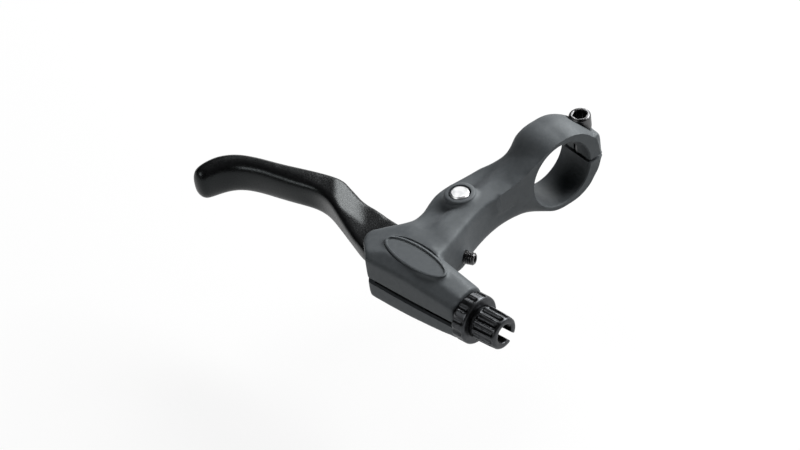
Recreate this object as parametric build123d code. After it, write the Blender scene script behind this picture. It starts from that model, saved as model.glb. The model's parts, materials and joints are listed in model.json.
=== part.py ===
from build123d import *
import os
from math import cos, radians, sin

os.makedirs("parts", exist_ok=True)

# Brake lever for a flat bicycle bar, right hand, in millimetres.
# Origin at the centre of the bar clamp. +X runs along the bar towards the cable adjuster,
# +Y points back at the rider and +Z up, along the axis of the lever's pivot.

# Bar clamp: a crowned ring with a slit at the back
BAR_DIAMETER = 22.2
CLAMP_WIDTH = 13.9
CLAMP_WALL = 3.5
CLAMP_EDGE_WALL = 1.7
CLAMP_SLIT = 1.2
SLIT_HEIGHT = -1.6

# Clamp bolt, across the slit
BOLT_DIAMETER = 5.0
BOLT_HEAD_DIAMETER = 7.0
BOLT_HEAD_HEIGHT = 5.0
BOLT_HEAD_TOP = 12.0
BOLT_HEAD_CHAMFER = 0.5
BOLT_SOCKET = 4.0
BOLT_SOCKET_DEPTH = 3.0
BOLT_BAR_GAP = 0.3
BOLT_CLEARANCE = 0.45
BOLT_POCKET_CLEARANCE = 0.9
BOLT_REACH = 8.0
RING_SETBACK = 2.4
EAR_REACH = 18.0
EAR_CENTRE = 6.0
EAR_CORNER = 4.5
EAR_BOTTOM = -8.0

# Pivot of the blade
PIVOT_X = -1.8
PIVOT_REACH = 32.85
PIN_DIAMETER = 5.0
PIN_FIT = 0.02
PIN_HEAD_DIAMETER = 5.9
PIN_HEAD_HEIGHT = 1.6
PIN_HEAD_PROUD = 0.2
PIN_CHAMFER = 0.45
PIN_POCKET_DIAMETER = 7.1
BOSS_DIAMETER = 10.0
BOSS_TOP = 8.0
BOSS_ROUND = 0.7
LOW_BOSS_DIAMETER = 13.4
LOW_BOSS_BOTTOM = -9.6
LOW_BOSS_ROUND = 0.8
CLIP_DIAMETER = 8.0
CLIP_THICKNESS = 0.6
CLIP_GAP = 0.05
CLIP_OPENING = 2.6
GROOVE_DEPTH = 0.5
PIN_TAIL = 0.9

# Bushings of the pivot
BUSHING_WALL = 1.05
BUSHING_PLAY = 0.05
BUSHING_FLANGE_DIAMETER = 10.2
BUSHING_FLANGE = 0.9
BUSHING_PROUD = 0.25
BUSHING_SPACE = 0.4

# Plane of the blade and the cable, and the line of the cable
LEVER_PLANE = -3.5
CABLE_ARM = 30.8
CABLE_YAW = 10.0

# Body
NECK_TOP = 6.8
NECK_BOTTOM = -8.0
NECK_EDGE = 2.2
NECK_KEEL_ROUND = 4.9
SHOULDER_TOP = 4.6
SPINE_FLANK = 3.9
HOUSING_DROP = 1.4
HOUSING_FRONT = 5.65
HOUSING_BACK = 8.0
HOUSING_WALL = 2.5
HOUSING_END = 28.2
HOUSING_RIGHT = 10.0
HOUSING_NOSE = 6.6
HOUSING_LEFT_FRONT = (-10.8, -1.4)
HOUSING_LEFT_END = (-15.0, 4.0)
HOUSING_LEFT_BACK = (-13.0, 9.0)
HOUSING_INNER_CORNER = (-1.5, -16.5)
CREASE_HEIGHT = 4.5
CREASE_BACK = 5.3
LEFT_DROP = 5.2
LEFT_RUN = 30.0
BARREL_TOP = 7.8
BARREL_BOTTOM = 7.4
BARREL_BACK = 7.5
BARREL_ROUND = 5.8
BARREL_FRONT_ROUND = 3.0
BARREL_CREASE = 6.0
BARREL_CREASE_BACK = 3.9
FRONT_ROUND = 1.2
CABLE_SLOT = 1.3
CABLE_HOLE_DIAMETER = 5.0
CAVITY_SIDE_GAP = 0.8
CAVITY_STOP_END = 21.0
CAVITY_RIGHT = 9.6
CAVITY_RIGHT_BACK = 3.0

# Stations of the neck, from the bar forward: distance from the bar's axis, left edge, how far right of it
# the spine starts, right edge, then how far the top and the shoulder rise and the bottom drops
NECK_STATIONS = [
    (4.0, 0.3 - CLAMP_WIDTH / 2, 7.6, CLAMP_WIDTH / 2 - 0.15, 5.2, 6.2, 4.4),
    (11.3, 0.1 - CLAMP_WIDTH / 2, 6.9, CLAMP_WIDTH / 2 - 0.15, 3.2, 3.9, 2.5),
    (14.0, -8.2, 7.4, CLAMP_WIDTH / 2 - 0.15, 2.0, 2.4, 1.2),
    (19.0, -9.9, 8.6, 6.6, 0.4, 0.7, 0.1),
    (PIVOT_REACH - 6.85, -10.8, 10.6, 6.75, 0.0, 0.0, 0.0),
    (PIVOT_REACH + 1.15, -10.9, 12.0, 8.0, 0.0, 0.0, 0.9),
    (PIVOT_REACH + 9.15, -8.1, 10.5, 10.8, 0.0, 0.0, HOUSING_DROP),
    (PIVOT_REACH + 15.15, -6.5, 9.9, 13.0, 0.0, 0.4, HOUSING_DROP),
    (PIVOT_REACH + 21.15, -6.6, 11.0, 15.2, 0.0, 0.8, HOUSING_DROP),
]

# Bare oval pad on the housing
PAD_LENGTH = 26.0
PAD_WIDTH = 8.8
PAD_TOP = 6.6
PAD_ALONG = 6.9
PAD_ACROSS = 2.6
PAD_YAW = 4.0
PAD_GROOVE = 0.5
PAD_GROOVE_DEPTH = 0.5
PAD_RIM = 0.7
PAD_RECESS = 0.25

# Blade
ROOT_THICKNESS = 5.4
ROOT_GAP = 0.3
ROOT_EDGE = 1.2
HUB_DIAMETER = 11.4
HUB_GAP = 0.5
FINGER_THICKNESS = 8.0
FINGER_HEIGHT = 10.2
FINGER_EDGE = 2.6
RAMP_START = (-43.85, 9.9)
RAMP_TURN = 58.0
RAMP_RUN = 7.5
RAMP_STEP = 0.05
TIP_LENGTH = 3.3
TIP_ROUND = 2.5
NIPPLE_DIAMETER = 7.2
NIPPLE_OPENING = 2.8
PLATE_END = 18.0
PLATE_END_BACK = 12.2
PLATE_END_FRONT = -0.6
PLATE_WAIST = [(-14.1, 14.3), (-11.3, 18.2)]
PLATE_FRONT = [(-1.5, -6.8), (-9.5, -1.6)]
STOP_EDGE_END = 20.0
STOP_EDGE_FRONT = (36.0, -5.2)

# Stations of the blade, from the root to the tip: place from the foot of the cable line, heading,
# width, height and corner radius, and how far the section's middle is raised
BLADE_STATIONS = [
    (-10.95, 6.6, 180.0, 2.0 * FINGER_THICKNESS, ROOT_THICKNESS, ROOT_EDGE, 0.0),
    (-18.95, 6.5, 179.0, 1.8 * FINGER_THICKNESS, ROOT_THICKNESS, ROOT_EDGE, 0.0),
    (-26.95, 7.1, 175.0, 1.48 * FINGER_THICKNESS, 1.22 * ROOT_THICKNESS, ROOT_EDGE, 0.3),
    (-34.95, 8.0, 175.0, 1.28 * FINGER_THICKNESS, 1.56 * ROOT_THICKNESS, 1.17 * ROOT_EDGE, 0.8),
    (-41.95, 8.6, 186.0, 1.2 * FINGER_THICKNESS, 0.94 * FINGER_HEIGHT, 0.77 * FINGER_EDGE, 0.2),
    (-48.95, 6.9, 201.0, 1.08 * FINGER_THICKNESS, FINGER_HEIGHT, 0.92 * FINGER_EDGE, 0.0),
    (-61.95, 1.0, 205.0, FINGER_THICKNESS, FINGER_HEIGHT, FINGER_EDGE, 0.0),
    (-71.45, -3.5, 211.0, FINGER_THICKNESS, FINGER_HEIGHT, FINGER_EDGE, 0.0),
    (-76.35, -8.2, 235.0, FINGER_THICKNESS, FINGER_HEIGHT, FINGER_EDGE, 0.0),
    (-77.95, -12.4, 258.0, 0.95 * FINGER_THICKNESS, FINGER_HEIGHT, FINGER_EDGE, 0.0),
    (-78.3, -16.0, 272.0, 0.88 * FINGER_THICKNESS, 0.94 * FINGER_HEIGHT, FINGER_EDGE, 0.0),
]

# Reach screw, the blade's rest stop
REACH_DIAMETER = 4.0
REACH_PLAY = 0.05
REACH_ARM = 15.5
REACH_TURN = 30.0
REACH_STOP = 1.6
REACH_TIP_GAP = 0.05
REACH_BOSS_FACE = 6.1
REACH_BOSS_DIAMETER = 6.6
REACH_END = 9.8
REACH_SOCKET = 2.0
REACH_SOCKET_DEPTH = 2.5
REACH_CHAMFER = 0.4

# Barrel adjuster and lock ring
SHANK_DIAMETER = 9.8
SHANK_PLAY = 0.05
SHANK_DEPTH = 13.0
SHANK_FLOOR_GAP = 0.6
RING_GAP = 0.4
LOCK_RING_DIAMETER = 15.4
LOCK_RING_WIDTH = 4.8
LOCK_RING_EDGE = 0.5
RING_FLUTES = 12
RING_FLUTE_DIAMETER = 2.4
RING_FLUTE_DEPTH = 0.7
RING_RIM = 1.6
RING_SLOT_ANGLE = -50.0
KNOB_GAP = 1.3
KNOB_DIAMETER = 11.0
KNOB_END_DIAMETER = 10.4
KNOB_LENGTH = 8.4
KNOB_EDGE = 0.9
KNOB_FLUTES = 12
KNOB_FLUTE_DIAMETER = 2.0
KNOB_FLUTE_DEPTH = 0.75
KNOB_RIM = 1.6
ADJUSTER_SLOT = 2.3
ADJUSTER_SLOT_ANGLE = -50.0
SOCKET_DIAMETER = 6.1
SOCKET_DEPTH = 9.0
CABLE_BORE_DIAMETER = 2.6

FAR = 60.0
HOUSING_BOTTOM = NECK_BOTTOM - HOUSING_DROP
YAW = radians(CABLE_YAW)
ALONG = Vector(cos(YAW), sin(YAW), 0)
ACROSS = Vector(-sin(YAW), cos(YAW), 0)
UP = Vector(0, 0, 1)
PIVOT = Vector(PIVOT_X, -PIVOT_REACH, 0)
FOOT = PIVOT - ACROSS * CABLE_ARM + UP * LEVER_PLANE
BAR_RADIUS = BAR_DIAMETER / 2
BOLT_Y = BAR_RADIUS + BOLT_DIAMETER / 2 + BOLT_BAR_GAP
BOLT_SEAT = BOLT_HEAD_TOP - BOLT_HEAD_HEIGHT
PIN_TOP = BOSS_TOP + PIN_HEAD_PROUD
PIN_SEAT = PIN_TOP - PIN_HEAD_HEIGHT
GROOVE_TOP = LOW_BOSS_BOTTOM - CLIP_GAP
GROOVE_BOTTOM = GROOVE_TOP - CLIP_THICKNESS - 2 * CLIP_GAP
ROOT_TOP = LEVER_PLANE + ROOT_THICKNESS / 2
ROOT_BOTTOM = LEVER_PLANE - ROOT_THICKNESS / 2
CAVITY_TOP = ROOT_TOP + ROOT_GAP
CAVITY_BOTTOM = ROOT_BOTTOM - ROOT_GAP
BLADE_FRONT = CABLE_ARM + NIPPLE_OPENING
CAVITY_FRONT = HOUSING_FRONT - HOUSING_WALL
RING_START = HOUSING_END + RING_GAP
RING_END = RING_START + LOCK_RING_WIDTH
KNOB_START = RING_END + KNOB_GAP
KNOB_END = KNOB_START + KNOB_LENGTH
SHANK_START = HOUSING_END - SHANK_DEPTH
BORE_START = SHANK_START - SHANK_FLOOR_GAP
TURN = radians(REACH_TURN)
RADIAL = Vector(sin(TURN), -cos(TURN), 0)
SIDE = Vector(cos(TURN), sin(TURN), 0)


def by_cable(along, across):
    """Point of the plan, measured along the cable line from below the pivot and back across it."""
    point = FOOT + ALONG * along + ACROSS * across
    return (point.X, point.Y)


def by_foot(x, y):
    """Point of the plan, measured from the foot of the cable line."""
    return (FOOT.X + x, FOOT.Y + y)


def by_pivot(x, y):
    """Point of the plan, measured from the pivot."""
    return (PIVOT.X + x, PIVOT.Y + y)


def by_stop(radial, side):
    """Point of the plan, measured from the pivot along and beside the blade's stop edge."""
    point = PIVOT + RADIAL * radial + SIDE * side
    return (point.X, point.Y)


def cable_plane(along):
    """Plane square to the cable line: its x runs back, its y up and its normal towards the adjuster."""
    return Plane(origin=FOOT + ALONG * along, x_dir=ACROSS, z_dir=ALONG)


def reach_plane(side):
    """Plane square to the reach screw, its normal pointing out of the neck."""
    origin = PIVOT + RADIAL * REACH_ARM + SIDE * side + UP * LEVER_PLANE
    return Plane(origin=origin, x_dir=RADIAL, z_dir=SIDE)


def slab(face, bottom, top):
    """Upright prism of a plan outline between two heights."""
    return extrude(Pos(0, 0, bottom) * face, top - bottom)


def rod(radius, start, end):
    return Pos(0, 0, start) * Cylinder(radius, end - start, align=(Align.CENTER, Align.CENTER, Align.MIN))


def disc(x, y, radius, bottom, top):
    return Pos(x, y, 0) * rod(radius, bottom, top)


def pivot_disc(radius, bottom, top):
    return disc(PIVOT.X, PIVOT.Y, radius, bottom, top)


def along_bar(face):
    """Prism of a side profile, right across the part."""
    return extrude(Plane.YZ.offset(-2 * FAR) * face, 4 * FAR)


def clamp_ring():
    half = CLAMP_WIDTH / 2
    edge = BAR_RADIUS + CLAMP_EDGE_WALL
    crown = BAR_RADIUS + CLAMP_WALL
    section = make_face(
        [
            Line((-half, 0), (half, 0)),
            Line((half, 0), (half, edge)),
            ThreePointArc((half, edge), (0, crown), (-half, edge)),
            Line((-half, edge), (-half, 0)),
        ]
    )
    ring = revolve(section, Axis.X)
    ear = slab(RectangleRounded(CLAMP_WIDTH, 2 * EAR_REACH, EAR_CORNER), EAR_BOTTOM, BOLT_SEAT)
    ear &= along_bar(Pos(EAR_CENTRE, 0) * Circle(EAR_REACH - EAR_CENTRE))
    return ring + Pos(0, RING_SETBACK, 0) * ring + ear


def neck_section(reach, left, right, spine, top, shoulder, bottom):
    """Section of the neck in front of the bar: a high spine on the right, a low shoulder on the left."""
    outline = FilletPolyline(
        (right, bottom),
        (right, top),
        (spine, top),
        (spine - SPINE_FLANK, shoulder),
        (left, shoulder),
        (left, bottom),
        radius=[NECK_KEEL_ROUND] + 5 * [NECK_EDGE],
        close=True,
    )
    return Plane.XZ.offset(reach) * make_face(outline)


def neck():
    sections = []
    for reach, left, flank, right, rise, shoulder_rise, drop in NECK_STATIONS:
        top = NECK_TOP + rise
        shoulder = SHOULDER_TOP + shoulder_rise
        sections.append(neck_section(reach, left, right, left + flank, top, shoulder, NECK_BOTTOM - drop))
    return loft(sections)


def housing_plan():
    front_left = by_cable(-HOUSING_NOSE, -HOUSING_FRONT)
    front_right = by_cable(HOUSING_RIGHT, -HOUSING_FRONT)
    back_right = by_cable(HOUSING_RIGHT, HOUSING_BACK)
    corner = by_pivot(*HOUSING_INNER_CORNER)
    left = Spline(
        front_left,
        by_cable(*HOUSING_LEFT_FRONT),
        by_cable(*HOUSING_LEFT_END),
        by_cable(*HOUSING_LEFT_BACK),
        corner,
    )
    return make_face(
        [left, Line(corner, back_right), Line(back_right, front_right), Line(front_right, front_left)]
    )


def housing_section(along, top, crease, crease_back, bottom, back, back_round, front_round):
    """Section of the housing square to the cable line: flat front, sloping top front and round back."""
    front = -HOUSING_FRONT
    slope_end = front + crease_back
    inner = back - back_round
    bulge = back_round * sin(radians(45))
    low_bulge = front_round * (1 - sin(radians(45)))
    return cable_plane(along) * make_face(
        [
            Line((front, bottom + front_round), (front, crease)),
            Line((front, crease), (slope_end, top)),
            Line((slope_end, top), (inner, top)),
            ThreePointArc((inner, top), (inner + bulge, top - back_round + bulge), (back, top - back_round)),
            Line((back, top - back_round), (back, bottom + back_round)),
            ThreePointArc(
                (back, bottom + back_round), (inner + bulge, bottom + back_round - bulge), (inner, bottom)
            ),
            Line((inner, bottom), (front + front_round, bottom)),
            ThreePointArc(
                (front + front_round, bottom),
                (front + low_bulge, bottom + low_bulge),
                (front, bottom + front_round),
            ),
        ]
    )


def housing():
    block = slab(housing_plan(), HOUSING_BOTTOM, NECK_TOP)
    front_edge = block.edges().sort_by_distance(Vector(*by_cable(0, -HOUSING_FRONT), HOUSING_BOTTOM))[0]
    block = fillet(front_edge, FRONT_ROUND)
    crease = CREASE_HEIGHT - LEVER_PLANE
    top = NECK_TOP - LEVER_PLANE
    bottom = HOUSING_BOTTOM - LEVER_PLANE
    rise = top - crease
    front_slope = make_face(
        Polyline(
            (-HOUSING_FRONT - CREASE_BACK, crease - rise),
            (-HOUSING_FRONT + 2 * CREASE_BACK, top + rise),
            (-HOUSING_FRONT - CREASE_BACK, top + rise),
            close=True,
        )
    )
    block -= extrude(cable_plane(-FAR) * front_slope, 2 * FAR)
    level = Plane(origin=FOOT + UP * top + ACROSS * FAR, x_dir=ALONG, z_dir=-ACROSS)
    left_slope = make_face(
        Polyline((0, 0), (-2 * LEFT_RUN, -2 * LEFT_DROP), (-2 * LEFT_RUN, FAR), (0, FAR), close=True)
    )
    block -= extrude(level * left_slope, 2 * FAR)
    start = housing_section(
        HOUSING_RIGHT,
        top,
        crease,
        CREASE_BACK,
        bottom,
        HOUSING_BACK,
        NECK_EDGE,
        FRONT_ROUND,
    )
    end = housing_section(
        HOUSING_END,
        BARREL_TOP,
        BARREL_CREASE,
        BARREL_CREASE_BACK,
        -BARREL_BOTTOM,
        BARREL_BACK,
        BARREL_ROUND,
        BARREL_FRONT_ROUND,
    )
    return block + loft([start, end], ruled=True)


def oval(length, width):
    centre = FOOT + ALONG * PAD_ALONG + ACROSS * PAD_ACROSS
    return Pos(centre.X, centre.Y, 0) * Rot(0, 0, PAD_YAW) * Ellipse(length / 2, width / 2)


def blade_space(gap):
    """Plan of the room for the blade inside the body, open to the left."""
    front = -CAVITY_FRONT
    edge = REACH_STOP + CAVITY_SIDE_GAP
    return make_face(
        Polyline(
            by_stop(0, edge),
            by_stop(CAVITY_STOP_END, edge),
            by_cable(CAVITY_RIGHT, CAVITY_RIGHT_BACK),
            by_cable(CAVITY_RIGHT, front),
            by_cable(-FAR, front),
            by_pivot(-FAR, HUB_DIAMETER / 2 + gap),
            by_pivot(0, HUB_DIAMETER / 2 + gap),
            close=True,
        )
    )


def lever_body():
    body = neck() + housing() + clamp_ring()
    boss = pivot_disc(BOSS_DIAMETER / 2, 0, BOSS_TOP)
    body += fillet(boss.edges().group_by(Axis.Z)[-1], BOSS_ROUND)
    low_boss = pivot_disc(LOW_BOSS_DIAMETER / 2, LOW_BOSS_BOTTOM, 0)
    body += fillet(low_boss.edges().group_by(Axis.Z)[0], LOW_BOSS_ROUND)
    body += extrude(reach_plane(REACH_STOP) * Circle(REACH_BOSS_DIAMETER / 2), REACH_BOSS_FACE - REACH_STOP)
    around = oval(PAD_LENGTH + 2 * PAD_GROOVE, PAD_WIDTH + 2 * PAD_GROOVE)
    body -= slab(around, PAD_TOP - PAD_GROOVE_DEPTH, FAR)
    body += slab(oval(PAD_LENGTH, PAD_WIDTH), CREASE_HEIGHT, PAD_TOP)
    body -= slab(oval(PAD_LENGTH - 2 * PAD_RIM, PAD_WIDTH - 2 * PAD_RIM), PAD_TOP - PAD_RECESS, FAR)
    body -= Rot(0, 90, 0) * Cylinder(BAR_RADIUS, 4 * FAR)
    body -= Pos(0, FAR / 2, SLIT_HEIGHT) * Box(2 * FAR, FAR, CLAMP_SLIT)
    body -= disc(0, BOLT_Y, BOLT_HEAD_DIAMETER / 2 + BOLT_POCKET_CLEARANCE, BOLT_SEAT, FAR)
    body -= disc(0, BOLT_Y, BOLT_DIAMETER / 2 + BOLT_CLEARANCE, SLIT_HEIGHT, FAR)
    body -= disc(0, BOLT_Y, BOLT_DIAMETER / 2 + PIN_FIT, -FAR, SLIT_HEIGHT)
    room = slab(blade_space(HUB_GAP), CAVITY_BOTTOM, CAVITY_TOP)
    room += pivot_disc(HUB_DIAMETER / 2 + HUB_GAP, CAVITY_BOTTOM, CAVITY_TOP)
    body -= room
    slot = Pos(-FAR / 2, 0, HOUSING_END / 2) * Box(FAR, CABLE_SLOT, 2 * FAR)
    body -= cable_plane(0) * slot
    body -= cable_plane(0) * rod(CABLE_HOLE_DIAMETER / 2, 0, HOUSING_END)
    body -= cable_plane(0) * rod(SHANK_DIAMETER / 2 + SHANK_PLAY, BORE_START, FAR)
    body -= pivot_disc(PIN_DIAMETER / 2 + PIN_FIT, -FAR, FAR)
    body -= pivot_disc(PIN_POCKET_DIAMETER / 2, PIN_SEAT, FAR)
    body -= extrude(reach_plane(0) * Circle(REACH_DIAMETER / 2 + REACH_PLAY), FAR / 2)
    return body


def station(x, y, heading, width, height, corner, rise):
    """Rounded section of the blade, square to its centre line."""
    turn = radians(heading)
    forward = Vector(cos(turn), sin(turn), 0)
    origin = FOOT + Vector(x, y, rise)
    plane = Plane(origin=origin, x_dir=UP.cross(forward), z_dir=forward)
    return plane * RectangleRounded(width, height, corner)


def ramp_cut():
    """Space above the facet that slopes from the finger's top back and down to the root."""
    turn = radians(RAMP_TURN)
    down = Vector(cos(turn), sin(turn), 0)
    across = down.cross(UP)
    top = LEVER_PLANE + FINGER_HEIGHT / 2
    floor = ROOT_TOP + RAMP_STEP
    fall = (top - floor) / RAMP_RUN
    profile = make_face(
        Polyline(
            (-RAMP_RUN, top + fall * RAMP_RUN),
            (RAMP_RUN, floor),
            (FAR, floor),
            (FAR, FAR),
            (-RAMP_RUN, FAR),
            close=True,
        )
    )
    start = Vector(*by_foot(*RAMP_START), 0)
    plane = Plane(origin=start - across * FAR, x_dir=down, z_dir=across)
    return extrude(plane * profile, 2 * FAR)


def blade_arm():
    sections = [station(*values) for values in BLADE_STATIONS]
    end = extrude(sections[-1], TIP_LENGTH)
    rim = end.faces().sort_by(Axis.Y)[0].edges()
    return loft(sections) + fillet(rim, TIP_ROUND) - ramp_cut()


def blade_plate():
    end_back = by_foot(-PLATE_END, PLATE_END_BACK)
    end_front = by_foot(-PLATE_END, PLATE_END_FRONT)
    hub_left = by_pivot(-HUB_DIAMETER / 2, 0)
    stop_start = by_stop(0, REACH_STOP)
    stop_end = by_stop(STOP_EDGE_END, REACH_STOP)
    front_right = by_stop(STOP_EDGE_FRONT[0], REACH_STOP + STOP_EDGE_FRONT[1])
    front = [by_foot(*point) for point in PLATE_FRONT]
    outline = [
        Spline(end_back, *[by_foot(*point) for point in PLATE_WAIST], hub_left),
        Polyline(hub_left, stop_start, stop_end, front_right, *front, end_front, end_back),
    ]
    plate = slab(make_face(outline), ROOT_BOTTOM, ROOT_TOP) & pivot_disc(BLADE_FRONT, -FAR, FAR)
    return plate + pivot_disc(HUB_DIAMETER / 2, ROOT_BOTTOM, ROOT_TOP)


def lever_blade():
    blade = blade_arm() + blade_plate()
    bush = PIN_DIAMETER / 2 + BUSHING_PLAY + BUSHING_WALL
    sunk = BUSHING_FLANGE - BUSHING_PROUD
    flange = BUSHING_FLANGE_DIAMETER / 2 + BUSHING_PLAY
    blade -= pivot_disc(bush + PIN_FIT, -FAR, FAR)
    blade -= pivot_disc(flange, ROOT_TOP - sunk, FAR)
    blade -= pivot_disc(flange, -FAR, ROOT_BOTTOM + sunk)
    blade -= disc(FOOT.X, FOOT.Y, NIPPLE_DIAMETER / 2, -FAR, FAR)
    slot = Pos(-NIPPLE_DIAMETER / 2, 0, FAR / 2) * Box(NIPPLE_DIAMETER, CABLE_SLOT, FAR)
    blade -= cable_plane(0) * (slot + rod(CABLE_BORE_DIAMETER / 2, 0, FAR))
    return blade


def bushing(outward):
    """Flanged bush of the hub, its flange up for +1 and down for -1."""
    inner = PIN_DIAMETER / 2 + BUSHING_PLAY
    face = ROOT_THICKNESS / 2 + BUSHING_PROUD
    sleeve = rod(inner + BUSHING_WALL, BUSHING_SPACE / 2, face - BUSHING_FLANGE)
    flange = rod(BUSHING_FLANGE_DIAMETER / 2, face - BUSHING_FLANGE, face)
    bush = sleeve + flange - rod(inner, -FAR, FAR)
    if outward < 0:
        bush = Rot(180, 0, 0) * bush
    return Pos(PIVOT.X, PIVOT.Y, LEVER_PLANE) * bush


def pivot_pin():
    radius = PIN_DIAMETER / 2
    tail = GROOVE_BOTTOM - PIN_TAIL
    head = PIN_HEAD_DIAMETER / 2
    outline = Polyline(
        (0, tail),
        (radius - PIN_CHAMFER, tail),
        (radius, tail + PIN_CHAMFER),
        (radius, GROOVE_BOTTOM),
        (radius - GROOVE_DEPTH, GROOVE_BOTTOM),
        (radius - GROOVE_DEPTH, GROOVE_TOP),
        (radius, GROOVE_TOP),
        (radius, PIN_SEAT),
        (head, PIN_SEAT),
        (head, PIN_TOP - PIN_CHAMFER),
        (head - PIN_CHAMFER, PIN_TOP),
        (0, PIN_TOP),
        close=True,
    )
    return Pos(PIVOT.X, PIVOT.Y, 0) * revolve(Plane.XZ * make_face(outline), Axis.Z)


def pivot_clip():
    inner = PIN_DIAMETER / 2 - GROOVE_DEPTH + CLIP_GAP
    bottom = GROOVE_BOTTOM + CLIP_GAP
    clip = rod(CLIP_DIAMETER / 2, bottom, bottom + CLIP_THICKNESS) - rod(inner, -FAR, FAR)
    clip -= Pos(CLIP_DIAMETER / 2, 0, bottom) * Box(CLIP_DIAMETER, CLIP_OPENING, FAR)
    return Pos(PIVOT.X, PIVOT.Y, 0) * clip


def hexagon(across_flats):
    return RegularPolygon(across_flats / 2, 6, major_radius=False)


def reach_screw():
    tip = REACH_STOP + REACH_TIP_GAP
    screw = rod(REACH_DIAMETER / 2, tip, REACH_END)
    screw = chamfer(screw.edges().filter_by(GeomType.CIRCLE), REACH_CHAMFER)
    screw -= extrude(Pos(0, 0, REACH_END - REACH_SOCKET_DEPTH) * hexagon(REACH_SOCKET), REACH_SOCKET_DEPTH)
    return reach_plane(0) * screw


def clamp_bolt():
    radius = BOLT_DIAMETER / 2
    head = rod(BOLT_HEAD_DIAMETER / 2, BOLT_SEAT, BOLT_HEAD_TOP)
    head = chamfer(head.edges().group_by(Axis.Z)[-1], BOLT_HEAD_CHAMFER)
    shank = rod(radius, -BOLT_REACH, BOLT_SEAT)
    shank = chamfer(shank.edges().group_by(Axis.Z)[0], BOLT_HEAD_CHAMFER)
    bolt = head + shank
    bolt -= extrude(Pos(0, 0, BOLT_HEAD_TOP - BOLT_SOCKET_DEPTH) * hexagon(BOLT_SOCKET), BOLT_SOCKET_DEPTH)
    return Pos(0, BOLT_Y, 0) * bolt


def flutes(count, diameter, depth, radius, end):
    """Round grooves along the outside of a knob, closed by a ball at their far end."""
    reach = radius - depth + diameter / 2
    groove = rod(diameter / 2, SHANK_START, end) + Pos(0, 0, end) * Sphere(diameter / 2)
    return [location * groove for location in PolarLocations(reach, count)]


def radial_slot(width, angle, start, end):
    """Slot from the axis out through the wall, at an angle above the back."""
    box = Pos(FAR / 2, 0, (start + end) / 2) * Box(FAR, width, end - start)
    return Rot(0, 0, angle) * box


def barrel_adjuster():
    shank = rod(SHANK_DIAMETER / 2, SHANK_START, KNOB_START)
    knob = loft(
        [
            Pos(0, 0, KNOB_START) * Circle(KNOB_DIAMETER / 2),
            Pos(0, 0, KNOB_END) * Circle(KNOB_END_DIAMETER / 2),
        ]
    )
    knob = fillet(knob.edges().filter_by(GeomType.CIRCLE).sort_by(Axis.Z)[-1], KNOB_EDGE)
    outside = KNOB_END_DIAMETER / 2
    knob -= flutes(KNOB_FLUTES, KNOB_FLUTE_DIAMETER, KNOB_FLUTE_DEPTH, outside, KNOB_END - KNOB_RIM)
    adjuster = shank + knob
    adjuster -= rod(SOCKET_DIAMETER / 2, KNOB_END - SOCKET_DEPTH, FAR)
    adjuster -= rod(CABLE_BORE_DIAMETER / 2, 0, FAR)
    adjuster -= radial_slot(ADJUSTER_SLOT, ADJUSTER_SLOT_ANGLE, 0, FAR)
    return cable_plane(0) * adjuster


def adjuster_lock_ring():
    outside = LOCK_RING_DIAMETER / 2
    ring = rod(outside, RING_START, RING_END)
    ring = chamfer(ring.edges().filter_by(GeomType.CIRCLE), LOCK_RING_EDGE)
    ring -= flutes(RING_FLUTES, RING_FLUTE_DIAMETER, RING_FLUTE_DEPTH, outside, RING_END - RING_RIM)
    ring -= rod(SHANK_DIAMETER / 2 + SHANK_PLAY, 0, FAR)
    ring -= radial_slot(ADJUSTER_SLOT, RING_SLOT_ANGLE, 0, FAR)
    return cable_plane(0) * ring


export_step(lever_body(), "parts/lever_body.step")
export_step(lever_blade(), "parts/lever_blade.step")
export_step(pivot_pin(), "parts/pivot_pin.step")
export_step(pivot_clip(), "parts/pivot_clip.step")
export_step(bushing(1), "parts/upper_bushing.step")
export_step(bushing(-1), "parts/lower_bushing.step")
export_step(reach_screw(), "parts/reach_screw.step")
export_step(clamp_bolt(), "parts/clamp_bolt.step")
export_step(barrel_adjuster(), "parts/barrel_adjuster.step")
export_step(adjuster_lock_ring(), "parts/adjuster_lock_ring.step")
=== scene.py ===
"""Look of the brake lever: softened forgings, paint and metal, a plain studio and the photograph's camera."""

import json
import math

import bmesh
import bpy
import numpy as np
from mathutils import Matrix, Vector

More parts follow.
